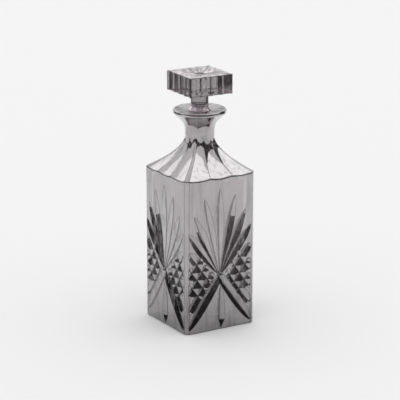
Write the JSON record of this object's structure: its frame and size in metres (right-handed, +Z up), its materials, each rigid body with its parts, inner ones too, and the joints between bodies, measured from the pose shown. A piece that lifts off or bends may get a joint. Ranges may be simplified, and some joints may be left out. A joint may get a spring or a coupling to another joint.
{
  "type": "square decanter",
  "caption": "Tall square cut-glass decanter with a fluted shoulder, a wide drip rim and a ground square stopper that lifts out, for serving spirits.",
  "frame": {"origin": "centre of the base, on the surface the decanter stands on", "axes": "+Z up along the neck, -Y out of one side of the square body, +X out of the side to its right"},
  "size_m": [0.089, 0.089, 0.2814],
  "materials": {
    "decanter_glass": "smoked, polished, ground inside the mouth",
    "stopper_glass": "smoked, polished, with a ground plug"
  },
  "bodies": {
    "decanter": {"decanter": "decanter_glass"},
    "stopper": {"stopper": "stopper_glass"}
  },
  "joints": [
    {"name": "stopper_lift", "type": "slide", "parent": "decanter", "child": "stopper", "axis": [0, 0, 1], "range_m": [0, 0.06]}
  ]
}
